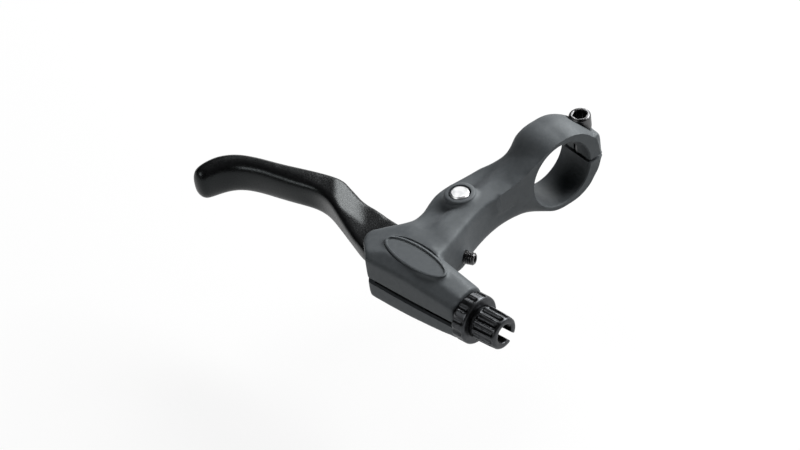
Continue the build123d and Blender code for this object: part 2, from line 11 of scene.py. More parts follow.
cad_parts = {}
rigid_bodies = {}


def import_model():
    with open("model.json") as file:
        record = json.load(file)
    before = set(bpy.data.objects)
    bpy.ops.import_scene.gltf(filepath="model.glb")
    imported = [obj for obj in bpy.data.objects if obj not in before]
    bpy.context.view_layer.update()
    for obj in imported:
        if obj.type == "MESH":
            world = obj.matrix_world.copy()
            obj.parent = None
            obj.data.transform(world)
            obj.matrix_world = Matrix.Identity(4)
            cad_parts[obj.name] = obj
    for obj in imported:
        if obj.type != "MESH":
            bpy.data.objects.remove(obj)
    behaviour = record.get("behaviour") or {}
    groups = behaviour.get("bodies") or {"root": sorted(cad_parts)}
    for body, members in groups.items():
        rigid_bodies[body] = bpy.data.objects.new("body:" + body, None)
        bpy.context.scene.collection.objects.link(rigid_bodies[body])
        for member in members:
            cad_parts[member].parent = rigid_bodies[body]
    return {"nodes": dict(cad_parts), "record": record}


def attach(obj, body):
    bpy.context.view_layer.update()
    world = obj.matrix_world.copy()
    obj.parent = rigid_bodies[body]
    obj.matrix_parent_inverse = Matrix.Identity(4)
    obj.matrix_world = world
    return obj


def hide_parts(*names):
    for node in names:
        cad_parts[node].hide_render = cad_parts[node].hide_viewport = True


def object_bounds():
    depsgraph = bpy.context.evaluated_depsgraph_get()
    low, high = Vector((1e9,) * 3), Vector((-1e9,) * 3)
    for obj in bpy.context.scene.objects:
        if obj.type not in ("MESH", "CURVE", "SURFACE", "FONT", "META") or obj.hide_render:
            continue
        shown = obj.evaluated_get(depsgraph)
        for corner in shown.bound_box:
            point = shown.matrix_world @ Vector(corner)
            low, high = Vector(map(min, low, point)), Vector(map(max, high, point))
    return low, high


MM = 0.001

# Reach of cutters that run past the part, in millimetres
FAR = 60.0

# Sizes and places of the part, in millimetres and degrees
BAR_RADIUS = 11.1
BAR_FLARE = 11.6
FLARE_INNER = 6.55
FLARE_OUTER = 7.05
CLAMP_HALF = 6.95
SLIT = (-2.2, -1.0)
SLIT_START = 5.0
BOLT_Y = 13.9
BOLT_SEAT = 7.0
BOLT_THREAD = 2.52
BOLT_HOLE = 2.95
BOLT_HOLE_END = -1.6
BOLT_POCKET = 4.4
PIVOT = Vector((-1.8, -32.85, 0.0))
PIN_SEAT = 6.6
PIN_HOLE = 2.52
PIN_HEAD_ROOM = 3.55
PIN_HEAD_MOUTH = 3.8
PIN_MOUTH_DEPTH = 0.25
BOSS_TOP = 8.0
BOSS_STEPS = [(5.0, 2.0), (5.0, 7.3), (4.92, 7.62), (4.7, 7.88), (4.35, BOSS_TOP)]
LOW_BOSS_BOTTOM = -9.6
LEVER_PLANE = -3.5
CABLE_ARM = 30.8
BLADE_FRONT = 33.6
CABLE_YAW = 10.0
CABLE_HOLE = 2.5
CABLE_BORE = 1.3
CABLE_WAY = 0.65
CABLE_WAY_FRONT = -7.2
NIPPLE_SEAT = 3.6
HOUSING_FRONT = 5.65
HOUSING_NOSE = 6.6
HOUSING_END = 28.2
BORE_START = 14.6
ADJUSTER_BORE = 4.95
CAVITY = (-6.5, -0.5)
ROOM_SIDE = 2.4
ROOM_REACH = 21.0
ROOM_END = 9.6
ROOM_BACK = 3.0
ROOM_FRONT = -3.15
HUB_ROOM = 6.2
HUB_BORE = 3.62
FLANGE_ROOM = 5.15
ROOT = (-6.2, -0.8)
FLANGE_SUNK = 0.65
REACH_ARM = 15.5
REACH_TURN = 30.0
REACH_TIP = 1.65
REACH_END = 9.8
REACH_HOLE = [(2.05, 0.0), (2.05, 6.3), (2.35, 6.6), (2.35, FAR / 2)]
REACH_SWELLING = [(4.2, 0.0), (4.2, 5.6), (3.7, 6.4), (2.9, 6.8)]
PAD_LENGTH = 26.0
PAD_WIDTH = 8.8
PAD_PLACE = (6.9, 2.6)
PAD_YAW = 4.0
PAD_FOOT = 4.6
PAD_TOP = 6.6
PAD_ROUND = 0.3
PAD_GROOVE = 0.5
PAD_GROOVE_DEPTH = 0.5
PAD_RIM = 0.7
PAD_RECESS = 0.4
PAD_SLOPE = 0.3
BEVEL_SHARE = 0.3

# Thread of the reach screw, its socket, and the ridges on the adjuster's shank, in millimetres
THREAD_PITCH = 0.7
THREAD_LEVELS = 12
THREAD_RADIUS = 1.98
THREAD_DEPTH = 0.38
THREAD_END = 1.55
THREAD_FLAT = 1.3
THREAD_SLOPE = 4.0
SOCKET_DEPTH = 2.5
SOCKET_MOUTH = 1.1
SOCKET_BEVEL = 0.12
SHANK_SLEEVE = 6.0
SHANK_PITCH = 0.8
SHANK_RIDGE = 4.86
SHANK_ROOT = 4.26
SHANK_SPARE_TURNS = 3

# Plugs that stand in for holes and thin walls while a skin is softened, in millimetres
BOLT_PLUG = 3.2
SLIT_PLUG = (10.5, 16.6)
SLIT_LAP = 0.2
BAR_LAP = 0.3
SLOT_PLUG = 0.8
SLOT_PLUG_BACK = -1.0
BORE_PLUG = 5.2
PIN_PLUG = 3.6
SEAT_PLUG = 3.8
HUB_PLUG = 5.3
RING_HALF = 7.9
RING_CROWN = 14.32
RING_ADDED = 0.28
RING_STEPS = 16
RING_FRONT = -7.0
RING_SETBACK = 2.4
SIDE_CUT = 0.05
LEFT_SIDE_FRONT = -9.0
RIGHT_SIDE_FRONT = -24.0
NECK_SIDE = [(7.5, -30.0), (9.5, -36.0)]
GUSSET_INNER = 3.0

# Right side and top of the gusset, at places along y
GUSSET_STATIONS = [
    (-4.0, 7.7, 11.9),
    (-11.3, 7.7, 9.9),
    (-14.0, 7.7, 8.75),
    (-19.0, 7.5, 7.15),
    (-23.0, 7.2, 6.8),
    (-28.0, 7.0, 6.5),
    (-34.0, 7.3, 6.05),
    (-36.0, 7.3, 5.0),
]

# Underside of the housing's front lip, at places along the cable
LIP_STATIONS = [
    (-HOUSING_NOSE, -7.4),
    (1.6, -7.7),
    (9.0, -7.7),
    (13.9, -7.45),
    (18.8, -7.15),
    (23.7, -6.7),
    (27.5, -5.7),
]
LIP_TOP = -3.2
LIP_ROUND = 1.0
LIP_BEVEL = 0.3
LIP_FLAT = 1.0
LIP_BACK = (7.0, -5.6)

# Lower and upper wall of the cable slot, at places along the cable, and the room behind it
SLOT_STATIONS = [
    (-FAR, -1.3, 0.85),
    (-HOUSING_NOSE, -1.3, 0.85),
    (4.0, -1.8, 0.6),
    (14.0, -2.0, 0.45),
    (HOUSING_END, -1.8, 0.45),
    (FAR, -1.8, 0.45),
]
SLOT_RELIEF = ((-4.6, -3.0, -5.0), (0.0, 2.0, BORE_START))

# Strong blends of the body: places, the two distances between which each fades, in millimetres, and shares
BODY_SOFTNESS = (0.035, 0.44)
CROOK_RADIUS = 15.0
CROOK_FADE = (1.5, 5.0)
CROOK_END = (-9.0, -4.0)
CROOK_SHARE = 0.5
CORNER = (10.5, -46.0)
CORNER_FADE = (3.0, 7.5)
CORNER_END = (6.0, 9.0)
SHOULDER = [(-10.5, -55.0), (-3.3, -49.3), (6.0, -51.5)]
SHOULDER_FADE = (2.5, 5.5)
SHOULDER_END = (-3.5, -2.0)
FLANK = [(-5.0, -37.5), (-2.0, -47.0)]
FLANK_FADE = (1.5, 5.0)
FLANK_END = (-3.0, -1.5)
NOSE = (-11.5, -59.5)
NOSE_FADE = (3.0, 8.0)
NOSE_SHARE = 0.3
EAR = (16.0, -8.0)
EAR_FADE = (2.5, 6.0)
EAR_SHARE = 0.7

# Strong blends of the blade in the same way, and what is added to the finger and its tip in millimetres
BLADE_SOFTNESS = (0.05, 0.30)
RAMP_FOOT = (-36.3, -46.9)
RAMP_WAY = (0.53, 0.848)
RAMP_FADE = (1.0, 4.5)
RAMP_RIGHT = (-25.0, -20.0)
RAMP_LEFT = (42.0, 46.0)
RAMP_END = (1.5, 3.0)
RAMP_SHARE = 0.6
FINGER_FADE = (-55.0, -42.0)
TIP_FADE = (-74.0, -66.0)
FINGER_ADDED = 0.75
FINGER_ADDED_FADE = (-56.0, -42.0)
TIP_ADDED = 0.8
TIP_ADDED_FADE = (-76.0, -66.0)

# Light blends of the small pieces, and the round at the knob's outer end
SMALL_SOFTNESS = 0.1
KNOB_SOFTNESS = 0.35
KNOB_FADE = (0.6, 3.0)

# Cells of the skins in millimetres, rounds of softening, and angles beyond which an edge stays sharp
BODY_CELL = 0.42
BODY_ROUNDS = 150
BLADE_CELL = 0.40
BLADE_ROUNDS = 120
SMALL_CELL = 0.17
SMALL_ROUNDS = 24
CUT_ANGLE = 35.0
THREAD_ANGLE = 30.0
SMALL_ANGLE = 50.0
ROUND_STEPS = 128
OVAL_STEPS = 160
SCREW_STEPS = 64

UP = Vector((0.0, 0.0, 1.0))
YAW = math.radians(CABLE_YAW)
ALONG = Vector((math.cos(YAW), math.sin(YAW), 0.0))
ACROSS = Vector((-math.sin(YAW), math.cos(YAW), 0.0))
FOOT = PIVOT - ACROSS * CABLE_ARM + UP * LEVER_PLANE
TURN = math.radians(REACH_TURN)
RADIAL = Vector((math.sin(TURN), -math.cos(TURN), 0.0))
SIDE = Vector((math.cos(TURN), math.sin(TURN), 0.0))
REACH_FOOT = PIVOT + RADIAL * REACH_ARM + UP * LEVER_PLANE
PAD_CENTRE = FOOT + ALONG * PAD_PLACE[0] + ACROSS * PAD_PLACE[1] - UP * LEVER_PLANE

# Camera, fitted to the photograph: degrees, metres and millimetres of lens
CAMERA_AZIMUTH = 57.761
CAMERA_ELEVATION = 41.042
CAMERA_ROLL = 8.698
CAMERA_DISTANCE = 0.9
CAMERA_RIGHT_OF_ORIGIN = -0.0458
CAMERA_ABOVE_ORIGIN = -0.01869
CAMERA_CLIP = (0.01, 20.0)
SENSOR_WIDTH = 36.0
LENS = 131.104

# Studio: the floor in metres and shares of white, and each lamp's direction, distance, sides and watts
FLOOR_DROP = 0.035
FLOOR_SIZE = 40.0
FLOOR_WHITE = 0.8
FLOOR_BOUNCE = 0.35
FLOOR_GLOW = 0.85
SKY_LIGHT = 0.01
SOFTBOXES = [
    ("key_softbox", (-0.44, 0.70, 0.55), 0.9, 0.42, 0.42, 6.2),
    ("rear_softbox", (0.15, 0.85, 0.55), 1.0, 0.7, 0.4, 17.0),
    ("front_fill", (-0.08, -0.80, 0.58), 1.1, 0.5, 0.25, 3.0),
]

# Materials: noise in cells per metre, bumps in metres
USUAL_NOISE = (0.3, 0.7)
TONE_PER_GRAIN = 0.25
COOL_GLOSS = (0.90, 0.98, 1.0, 1.0)
CLOUD_SCALE = 600.0
TOOL_MARK_SCALE = 4000.0
TOOL_MARK_BUMP = (0.1, 0.00003)


def axes(origin, x_axis, y_axis, z_axis):
    """Frame of a cutter or plug: its place and directions, in millimetres."""
    turn = Matrix((x_axis, y_axis, z_axis)).transposed().to_4x4()
    return Matrix.Translation(origin) @ turn


LEVEL = Matrix.Identity(4)
BAR = axes(Vector((0, 0, 0)), Vector((0, 1, 0)), UP, Vector((1, 0, 0)))
BOLT = Matrix.Translation((0, BOLT_Y, 0))
HINGE = Matrix.Translation(PIVOT)
CABLE = axes(FOOT, ACROSS, UP, ALONG)
SEAT = Matrix.Translation(FOOT)
REACH = axes(REACH_FOOT, RADIAL, SIDE.cross(RADIAL), SIDE)
PAD = Matrix.Translation(PAD_CENTRE) @ Matrix.Rotation(math.radians(PAD_YAW), 4, "Z")


def shape(name, frame_matrix, points, faces):
    """Mesh object from points in millimetres of a frame."""
    mesh = bpy.data.meshes.new(name)
    mesh.from_pydata([(frame_matrix @ Vector(point)) * MM for point in points], [], faces)
    work = bmesh.new()
    work.from_mesh(mesh)
    bmesh.ops.recalc_face_normals(work, faces=work.faces)
    work.to_mesh(mesh)
    work.free()
    piece = bpy.data.objects.new(name, mesh)
    bpy.context.scene.collection.objects.link(piece)
    return piece


def stacked(name, frame_matrix, rings):
    """Closed solid from rings of equal count: each a list of points, the ends closed by flat faces."""
    count = len(rings[0])
    points = [point for ring in rings for point in ring]
    faces = [tuple(range(count)), tuple(range(len(points) - count, len(points)))]
    for level in range(len(rings) - 1):
        for step in range(count):
            after = (step + 1) % count
            low = level * count
            faces.append((low + step, low + after, low + count + after, low + count + step))
    return shape(name, frame_matrix, points, faces)


def ellipse(length, width, height, count=OVAL_STEPS):
    """Ring of points on an ellipse."""
    turns = [2 * math.pi * step / count for step in range(count)]
    return [(length / 2 * math.cos(turn), width / 2 * math.sin(turn), height) for turn in turns]


def circle(radius, height):
    """Ring of points on a circle."""
    return ellipse(2 * radius, 2 * radius, height, ROUND_STEPS)


def turned(name, frame_matrix, *steps):
    """Solid of revolution through (radius, height) steps."""
    return stacked(name, frame_matrix, [circle(radius, height) for radius, height in steps])


def oval(name, steps):
    """Solid on the pad's outline through (inset, height) steps."""
    rings = [ellipse(PAD_LENGTH - 2 * inset, PAD_WIDTH - 2 * inset, height) for inset, height in steps]
    return stacked(name, PAD, rings)


def prism(name, frame_matrix, plan, heights):
    """Solid with the same plan at two heights."""
    return stacked(name, frame_matrix, [[(x, y, z) for x, y in plan] for z in heights])


def block(name, frame_matrix, low, high):
    """Box between two corners."""
    plan = [(low[0], low[1]), (high[0], low[1]), (high[0], high[1]), (low[0], high[1])]
    return prism(name, frame_matrix, plan, (low[2], high[2]))


def flat_point(origin, first, second, a, b):
    """Place in the plan, by its distances along two directions."""
    place = origin + first * a + second * b
    return (place.x, place.y)


def room(name):
    """Room for the blade inside the body, as in the part."""
    plan = [
        flat_point(PIVOT, RADIAL, SIDE, 0.0, ROOM_SIDE),
        flat_point(PIVOT, RADIAL, SIDE, ROOM_REACH, ROOM_SIDE),
        flat_point(FOOT, ALONG, ACROSS, ROOM_END, ROOM_BACK),
        flat_point(FOOT, ALONG, ACROSS, ROOM_END, ROOM_FRONT),
        flat_point(FOOT, ALONG, ACROSS, -FAR, ROOM_FRONT),
        (PIVOT.x - FAR, PIVOT.y + HUB_ROOM),
        (PIVOT.x, PIVOT.y + HUB_ROOM),
    ]
    return prism(name, LEVEL, plan, CAVITY)


def settle(piece):
    """Replaces a piece's mesh by what its modifiers make of it."""
    graph = bpy.context.evaluated_depsgraph_get()
    mesh = bpy.data.meshes.new_from_object(piece.evaluated_get(graph))
    old = piece.data
    piece.modifiers.clear()
    piece.data = mesh
    bpy.data.meshes.remove(old)


def combine(piece, tool, operation):
    """Adds a tool to a piece, cuts it away or keeps what they share, and removes the tool."""
    modifier = piece.modifiers.new(operation.lower(), "BOOLEAN")
    modifier.operation = operation
    modifier.solver = "MANIFOLD"
    modifier.object = tool
    settle(piece)
    bpy.data.objects.remove(tool)


def cut(piece, cutters):
    """Cuts one tool after another away from a piece."""
    for cutter in cutters:
        combine(piece, cutter, "DIFFERENCE")


def blank(name, node, cell, plugs=()):
    """Copy of a node with its holes plugged, as one even skin of small cells."""
    work = bmesh.new()
    work.from_mesh(node.data)
    for plug in plugs:
        work.from_mesh(plug.data)
        bpy.data.objects.remove(plug)
    mesh = bpy.data.meshes.new(name)
    work.to_mesh(mesh)
    work.free()
    piece = bpy.data.objects.new(name, mesh)
    bpy.context.scene.collection.objects.link(piece)
    modifier = piece.modifiers.new("skin", "REMESH")
    modifier.mode = "VOXEL"
    modifier.voxel_size = cell * MM
    settle(piece)
    return piece


def read_points(mesh, field):
    """Places or normals of a mesh's points, one row each."""
    values = np.empty(len(mesh.vertices) * 3)
    mesh.vertices.foreach_get(field, values)
    return values.reshape(-1, 3)


def write_points(mesh, points):
    """Moves a mesh's points to new places."""
    mesh.vertices.foreach_set("co", points.ravel())
    mesh.update()


def soften(piece, rounds, weight):
    """Evens a skin out, each point by its weight, which a function gives from the points in millimetres."""
    mesh = piece.data
    points = read_points(mesh, "co")
    ends = np.empty(len(mesh.edges) * 2, dtype=np.int32)
    mesh.edges.foreach_get("vertices", ends)
    start, end = ends.reshape(-1, 2).T
    total = len(points)
    near = np.bincount(start, minlength=total) + np.bincount(end, minlength=total)
    share = weight(points / MM)
    for _ in range(rounds):
        for axis in range(3):
            line = points[:, axis]
            around = np.bincount(start, line[end], total) + np.bincount(end, line[start], total)
            points[:, axis] = line + share * (around / near - line)
    write_points(mesh, points)


def heighten(piece, amount):
    """Moves a skin up and down, each point by an amount in millimetres, against what softening takes off."""
    mesh = piece.data
    points = read_points(mesh, "co")
    normals = read_points(mesh, "normal")
    points[:, 2] += normals[:, 2] * amount(points / MM) * MM
    write_points(mesh, points)


def dress(piece, node_name, body, material, sharp=CUT_ANGLE):
    """Smooth shading with crisp cut edges, and the piece's place in the frame."""
    mesh = piece.data
    mesh.materials.clear()
    mesh.materials.append(material)
    mesh.polygons.foreach_set("material_index", np.zeros(len(mesh.polygons), dtype=np.int32))
    mesh.shade_smooth()
    mesh.set_sharp_from_angle(angle=math.radians(sharp))
    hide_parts(node_name)
    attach(piece, body)


def fade(distance, inner, outer):
    """1 within the inner distance, 0 beyond the outer one, and smooth between."""
    part = np.clip((outer - distance) / (outer - inner), 0.0, 1.0)
    return part * part * (3 - 2 * part)


def from_line(points, start, end):
    """Distance of points from a line between two places of the plan."""
    way = np.subtract(end, start)
    offset = points[:, :2] - np.array(start)
    part = np.clip(offset @ way / (way @ way), 0.0, 1.0)
    return np.linalg.norm(offset - part[:, None] * way, axis=1)


def body_weight(points):
    """Strong blends where the neck meets the ring and the housing, and light ones elsewhere."""
    x, y, z = points.T
    light, added = BODY_SOFTNESS
    crook = fade(np.abs(np.hypot(y, z) - CROOK_RADIUS), *CROOK_FADE) * fade(y, *CROOK_END)
    corner = fade(np.hypot(x - CORNER[0], y - CORNER[1]), *CORNER_FADE) * fade(-z, *CORNER_END)
    shoulder = np.minimum(from_line(points, *SHOULDER[:2]), from_line(points, *SHOULDER[1:]))
    step = fade(shoulder, *SHOULDER_FADE) * fade(-z, *SHOULDER_END)
    flank = fade(from_line(points, *FLANK), *FLANK_FADE) * fade(-z, *FLANK_END)
    nose = fade(np.hypot(x - NOSE[0], y - NOSE[1]), *NOSE_FADE)
    ear = fade(np.hypot(y - EAR[0], z - EAR[1]), *EAR_FADE)
    strong = np.maximum(np.maximum(step, flank), CROOK_SHARE * np.maximum(crook, corner))
    return light + added * np.maximum(strong, np.maximum(NOSE_SHARE * nose, EAR_SHARE * ear))


def wide_ring(name, back):
    """Clamp ring from the neck back, drawn wider than it is, so that its sides can be cut off sharp."""
    rings = []
    for step in range(-RING_STEPS, RING_STEPS + 1):
        across = RING_HALF * step / RING_STEPS
        rings.append(circle(RING_ADDED + math.sqrt(RING_CROWN**2 - across**2), across))
    ring = stacked(name, Matrix.Translation((0, back, 0)) @ BAR, rings)
    combine(ring, block("front", LEVEL, (-FAR, -FAR, -FAR), (FAR, RING_FRONT, FAR)), "DIFFERENCE")
    return ring


def gusset(name):
    """Right side of the neck beside the ring, drawn wider for the same cut, and running out forward."""
    rings = []
    for y, right, top in GUSSET_STATIONS:
        rings.append([(right, y, top), (GUSSET_INNER, y, top), (GUSSET_INNER, y, 0.0), (right, y, 0.0)])
    return stacked(name, LEVEL, rings)


def lip(name):
    """Lower front lip of the housing, fuller than in the part, running out to the barrel and the back."""
    front = -HOUSING_FRONT
    rings = []
    for along, bottom in LIP_STATIONS:
        ring = [
            (front, LIP_TOP, along),
            (front, bottom + LIP_ROUND, along),
            (front + LIP_BEVEL, bottom + LIP_BEVEL, along),
            (front + LIP_ROUND, bottom, along),
            (LIP_FLAT, bottom, along),
            (LIP_BACK[0], LIP_BACK[1], along),
            (LIP_BACK[0], LIP_TOP, along),
        ]
        rings.append(ring)
    return stacked(name, CABLE, rings)


def cable_slot(name):
    """Slot along the housing's front, wider than in the part, sagging a little between its ends."""
    rings = []
    for along, low, high in SLOT_STATIONS:
        rings.append([(-FAR, low, along), (0.0, low, along), (0.0, high, along), (-FAR, high, along)])
    return stacked(name, CABLE, rings)


def right_side(name):
    """Flat right side of the ring, which leaves the neck again where that grows wider."""
    edge = CLAMP_HALF - SIDE_CUT
    plan = [(edge, FAR), (edge, RIGHT_SIDE_FRONT), *NECK_SIDE, (FAR, NECK_SIDE[-1][1]), (FAR, FAR)]
    return prism(name, LEVEL, plan, (-FAR, FAR))


def body_plugs():
    """What fills the body's holes and thickens its thin places while it is softened."""
    bar = BAR_RADIUS + BAR_LAP
    slit_low = (-CLAMP_HALF, SLIT_PLUG[0], SLIT[0] - SLIT_LAP)
    slit_high = (CLAMP_HALF, SLIT_PLUG[1], SLIT[1] + SLIT_LAP)
    slot_low = (-HOUSING_FRONT, -SLOT_PLUG, -HOUSING_NOSE)
    return [
        wide_ring("ring_plug", 0.0),
        wide_ring("set_back_plug", RING_SETBACK),
        gusset("gusset_plug"),
        lip("lip_plug"),
        turned("bar_plug", BAR, (bar, -CLAMP_HALF), (bar, CLAMP_HALF)),
        block("slit_plug", LEVEL, slit_low, slit_high),
        turned("bolt_plug", BOLT, (BOLT_PLUG, -BOLT_SEAT), (BOLT_PLUG, BOLT_SEAT)),
        block("slot_plug", CABLE, slot_low, (SLOT_PLUG_BACK, SLOT_PLUG, HOUSING_END)),
        turned("bore_plug", CABLE, (BORE_PLUG, BORE_START), (BORE_PLUG, HOUSING_END)),
        turned("pin_plug", HINGE, (PIN_PLUG, LOW_BOSS_BOTTOM), (PIN_PLUG, BOSS_TOP)),
        turned("reach_plug", REACH, *REACH_SWELLING),
    ]


def body_cutters():
    """What the body's machined faces, holes and rooms are cut with."""
    flare = [(BAR_FLARE, -FAR), (BAR_FLARE, -FLARE_OUTER), (BAR_RADIUS, -FLARE_INNER)]
    flare += [(radius, -across) for radius, across in reversed(flare)]
    bolt = [
        (BOLT_THREAD, -FAR),
        (BOLT_THREAD, BOLT_HOLE_END),
        (BOLT_HOLE, BOLT_HOLE_END),
        (BOLT_HOLE, BOLT_SEAT),
        (BOLT_POCKET, BOLT_SEAT),
        (BOLT_POCKET, FAR),
    ]
    cable = [(CABLE_HOLE, 0.0), (CABLE_HOLE, BORE_START), (ADJUSTER_BORE, BORE_START), (ADJUSTER_BORE, FAR)]
    pin = [
        (PIN_HOLE, -FAR),
        (PIN_HOLE, PIN_SEAT),
        (PIN_HEAD_ROOM, PIN_SEAT),
        (PIN_HEAD_ROOM, BOSS_TOP - PIN_MOUTH_DEPTH),
        (PIN_HEAD_MOUTH, FAR),
    ]
    return [
        right_side("right_side"),
        block("left_side", LEVEL, (-FAR, LEFT_SIDE_FRONT, -FAR), (-CLAMP_HALF, FAR, FAR)),
        turned("bar_bore", BAR, *flare),
        block("slit", LEVEL, (-FAR, SLIT_START, SLIT[0]), (FAR, FAR, SLIT[1])),
        turned("bolt_pocket", BOLT, *bolt),
        room("room"),
        turned("hub_room", HINGE, (HUB_ROOM, CAVITY[0]), (HUB_ROOM, CAVITY[1])),
        cable_slot("cable_slot"),
        block("slot_relief", CABLE, *SLOT_RELIEF),
        turned("cable_hole", CABLE, *cable),
        turned("pin_hole", HINGE, *pin),
        turned("reach_hole", REACH, *REACH_HOLE),
    ]


def make_body(node, material):
    """Forged body: softened as a whole, then given its boss, its pad and its cut faces."""
    skin = blank("body_skin", node, BODY_CELL, body_plugs())
    soften(skin, BODY_ROUNDS, body_weight)
    combine(skin, turned("boss", HINGE, *BOSS_STEPS), "UNION")
    groove = [(-PAD_GROOVE, PAD_TOP - PAD_GROOVE_DEPTH), (-PAD_GROOVE, FAR)]
    combine(skin, oval("groove", groove), "DIFFERENCE")
    bevel = BEVEL_SHARE * PAD_ROUND
    rounded = [(0.0, PAD_FOOT), (0.0, PAD_TOP - PAD_ROUND), (bevel, PAD_TOP - bevel), (PAD_ROUND, PAD_TOP)]
    combine(skin, oval("pad", rounded), "UNION")
    recess = [(PAD_RIM + PAD_SLOPE, PAD_TOP - PAD_RECESS), (PAD_RIM, PAD_TOP), (PAD_RIM, FAR)]
    combine(skin, oval("dish", recess), "DIFFERENCE")
    cut(skin, body_cutters())
    dress(skin, "lever_body", "body", material)


def blade_weight(points):
    """Soft finger edges, a rounder tip and a ramp that runs out into the root."""
    x, y, z = points.T
    foot = np.abs((x - RAMP_FOOT[0]) * RAMP_WAY[0] + (y - RAMP_FOOT[1]) * RAMP_WAY[1])
    sides = fade(foot, *RAMP_FADE) * fade(x, *RAMP_RIGHT) * fade(-x, *RAMP_LEFT)
    run_out = sides * fade(-z, *RAMP_END)
    finger = fade(x, *FINGER_FADE)
    tip = fade(x, *TIP_FADE)
    light, added = BLADE_SOFTNESS
    return light + added * np.maximum(RAMP_SHARE * run_out, np.maximum(finger, tip))


def finger_height(points):
    """Height in millimetres that softening takes off the finger and its tip."""
    x = points[:, 0]
    return FINGER_ADDED * fade(x, *FINGER_ADDED_FADE) + TIP_ADDED * fade(x, *TIP_ADDED_FADE)


def make_blade(node, material):
    """Forged blade: softened with its holes plugged, which are then cut again."""
    seat = turned("seat_plug", SEAT, (SEAT_PLUG, ROOT[0] - LEVER_PLANE), (SEAT_PLUG, ROOT[1] - LEVER_PLANE))
    combine(seat, turned("front", HINGE, (BLADE_FRONT, -FAR), (BLADE_FRONT, FAR)), "INTERSECT")
    hub = turned("hub_plug", HINGE, (HUB_PLUG, ROOT[0]), (HUB_PLUG, ROOT[1]))
    skin = blank("blade_skin", node, BLADE_CELL, [seat, hub])
    heighten(skin, finger_height)
    soften(skin, BLADE_ROUNDS, blade_weight)
    bushings = [
        (FLANGE_ROOM, -FAR),
        (FLANGE_ROOM, ROOT[0] + FLANGE_SUNK),
        (HUB_BORE, ROOT[0] + FLANGE_SUNK),
        (HUB_BORE, ROOT[1] - FLANGE_SUNK),
        (FLANGE_ROOM, ROOT[1] - FLANGE_SUNK),
        (FLANGE_ROOM, FAR),
    ]
    cutters = [
        turned("hub", HINGE, *bushings),
        turned("nipple", SEAT, (NIPPLE_SEAT, -FAR), (NIPPLE_SEAT, FAR)),
        block("cable_way", CABLE, (CABLE_WAY_FRONT, -CABLE_WAY, 0.0), (0.0, CABLE_WAY, FAR)),
        turned("cable_bore", CABLE, (CABLE_BORE, 0.0), (CABLE_BORE, FAR)),
    ]
    cut(skin, cutters)
    dress(skin, "lever_blade", "lever", material)


def make_reach_screw(material):
    """Set screw with a real thread and a hexagon socket."""
    rings = []
    length = REACH_END - REACH_TIP
    levels = int(length / THREAD_PITCH * THREAD_LEVELS)
    for level in range(levels + 1):
        height = REACH_TIP + length * level / levels
        end = min(height - REACH_TIP, REACH_END - height)
        ring = []
        for step in range(SCREW_STEPS):
            turn = 2 * math.pi * step / SCREW_STEPS
            phase = (height / THREAD_PITCH - step / SCREW_STEPS) % 1.0
            groove = min(1.0, max(0.0, THREAD_FLAT - abs(phase - 0.5) * THREAD_SLOPE))
            radius = min(THREAD_RADIUS - THREAD_DEPTH * groove, THREAD_END + end)
            ring.append((radius * math.cos(turn), radius * math.sin(turn), height))
        rings.append(ring)
    hexagon = []
    for step in range(SCREW_STEPS):
        turn = 2 * math.pi * step / SCREW_STEPS
        slant = (turn + math.pi / 6) % (math.pi / 3) - math.pi / 6
        hexagon.append((math.cos(turn) / math.cos(slant), math.sin(turn) / math.cos(slant)))
    rings.append([(x * SOCKET_MOUTH, y * SOCKET_MOUTH, REACH_END) for x, y in hexagon])
    rings.append([(x, y, REACH_END - SOCKET_BEVEL) for x, y in hexagon])
    rings.append([(x, y, REACH_END - SOCKET_DEPTH) for x, y in hexagon])
    screw = stacked("threaded_screw", REACH, rings)
    dress(screw, "reach_screw", "reach_screw", material, THREAD_ANGLE)


def edge_weight(points):
    """Light softening all over, which just breaks the edges."""
    return np.full(len(points), SMALL_SOFTNESS)


def knob_weight(points):
    """Light softening, and a full round at the knob's outer end."""
    along = (points - np.array(FOOT)) @ np.array(ALONG)
    return SMALL_SOFTNESS + KNOB_SOFTNESS * fade(along.max() - along, *KNOB_FADE)


def shank_thread(name):
    """Sleeve that leaves ridges like a thread's on the adjuster's shank, where the slot shows it."""
    sleeve = turned(name, CABLE, (SHANK_SLEEVE, BORE_START), (SHANK_SLEEVE, HOUSING_END))
    count = int((HOUSING_END - BORE_START) / SHANK_PITCH) + SHANK_SPARE_TURNS
    steps = []
    for turn in range(count):
        foot = BORE_START - SHANK_PITCH + SHANK_PITCH * turn
        steps += [(SHANK_RIDGE, foot), (SHANK_ROOT, foot + SHANK_PITCH / 2)]
    combine(sleeve, turned("ridges", CABLE, *steps), "DIFFERENCE")
    return sleeve


def make_softened(name, node, node_name, body, material, weight, cutters=()):
    """Small turned piece with its edges broken, which is then cut."""
    skin = blank(name, node, SMALL_CELL)
    soften(skin, SMALL_ROUNDS, weight)
    cut(skin, cutters)
    dress(skin, node_name, body, material, SMALL_ANGLE)


def new_material(name):
    """New material with its node tree, which holds only an output."""
    material = bpy.data.materials.new(name)
    material.use_nodes = True
    tree = material.node_tree
    tree.nodes.clear()
    output = tree.nodes.new("ShaderNodeOutputMaterial")
    return material, tree, output


def principled(tree, output, **values):
    """Surface shader with its constant values set on its own sockets."""
    shader = tree.nodes.new("ShaderNodeBsdfPrincipled")
    for name, value in values.items():
        shader.inputs[name.replace("_", " ")].default_value = value
    tree.links.new(shader.outputs["BSDF"], output.inputs["Surface"])
    return shader


def object_noise(tree, scale, detail):
    """Noise in the part's own space, with its scale in cells per metre."""
    place = tree.nodes.new("ShaderNodeTexCoord")
    noise = tree.nodes.new("ShaderNodeTexNoise")
    noise.inputs["Scale"].default_value = scale
    noise.inputs["Detail"].default_value = detail
    tree.links.new(place.outputs["Object"], noise.inputs["Vector"])
    return noise.outputs["Fac"]


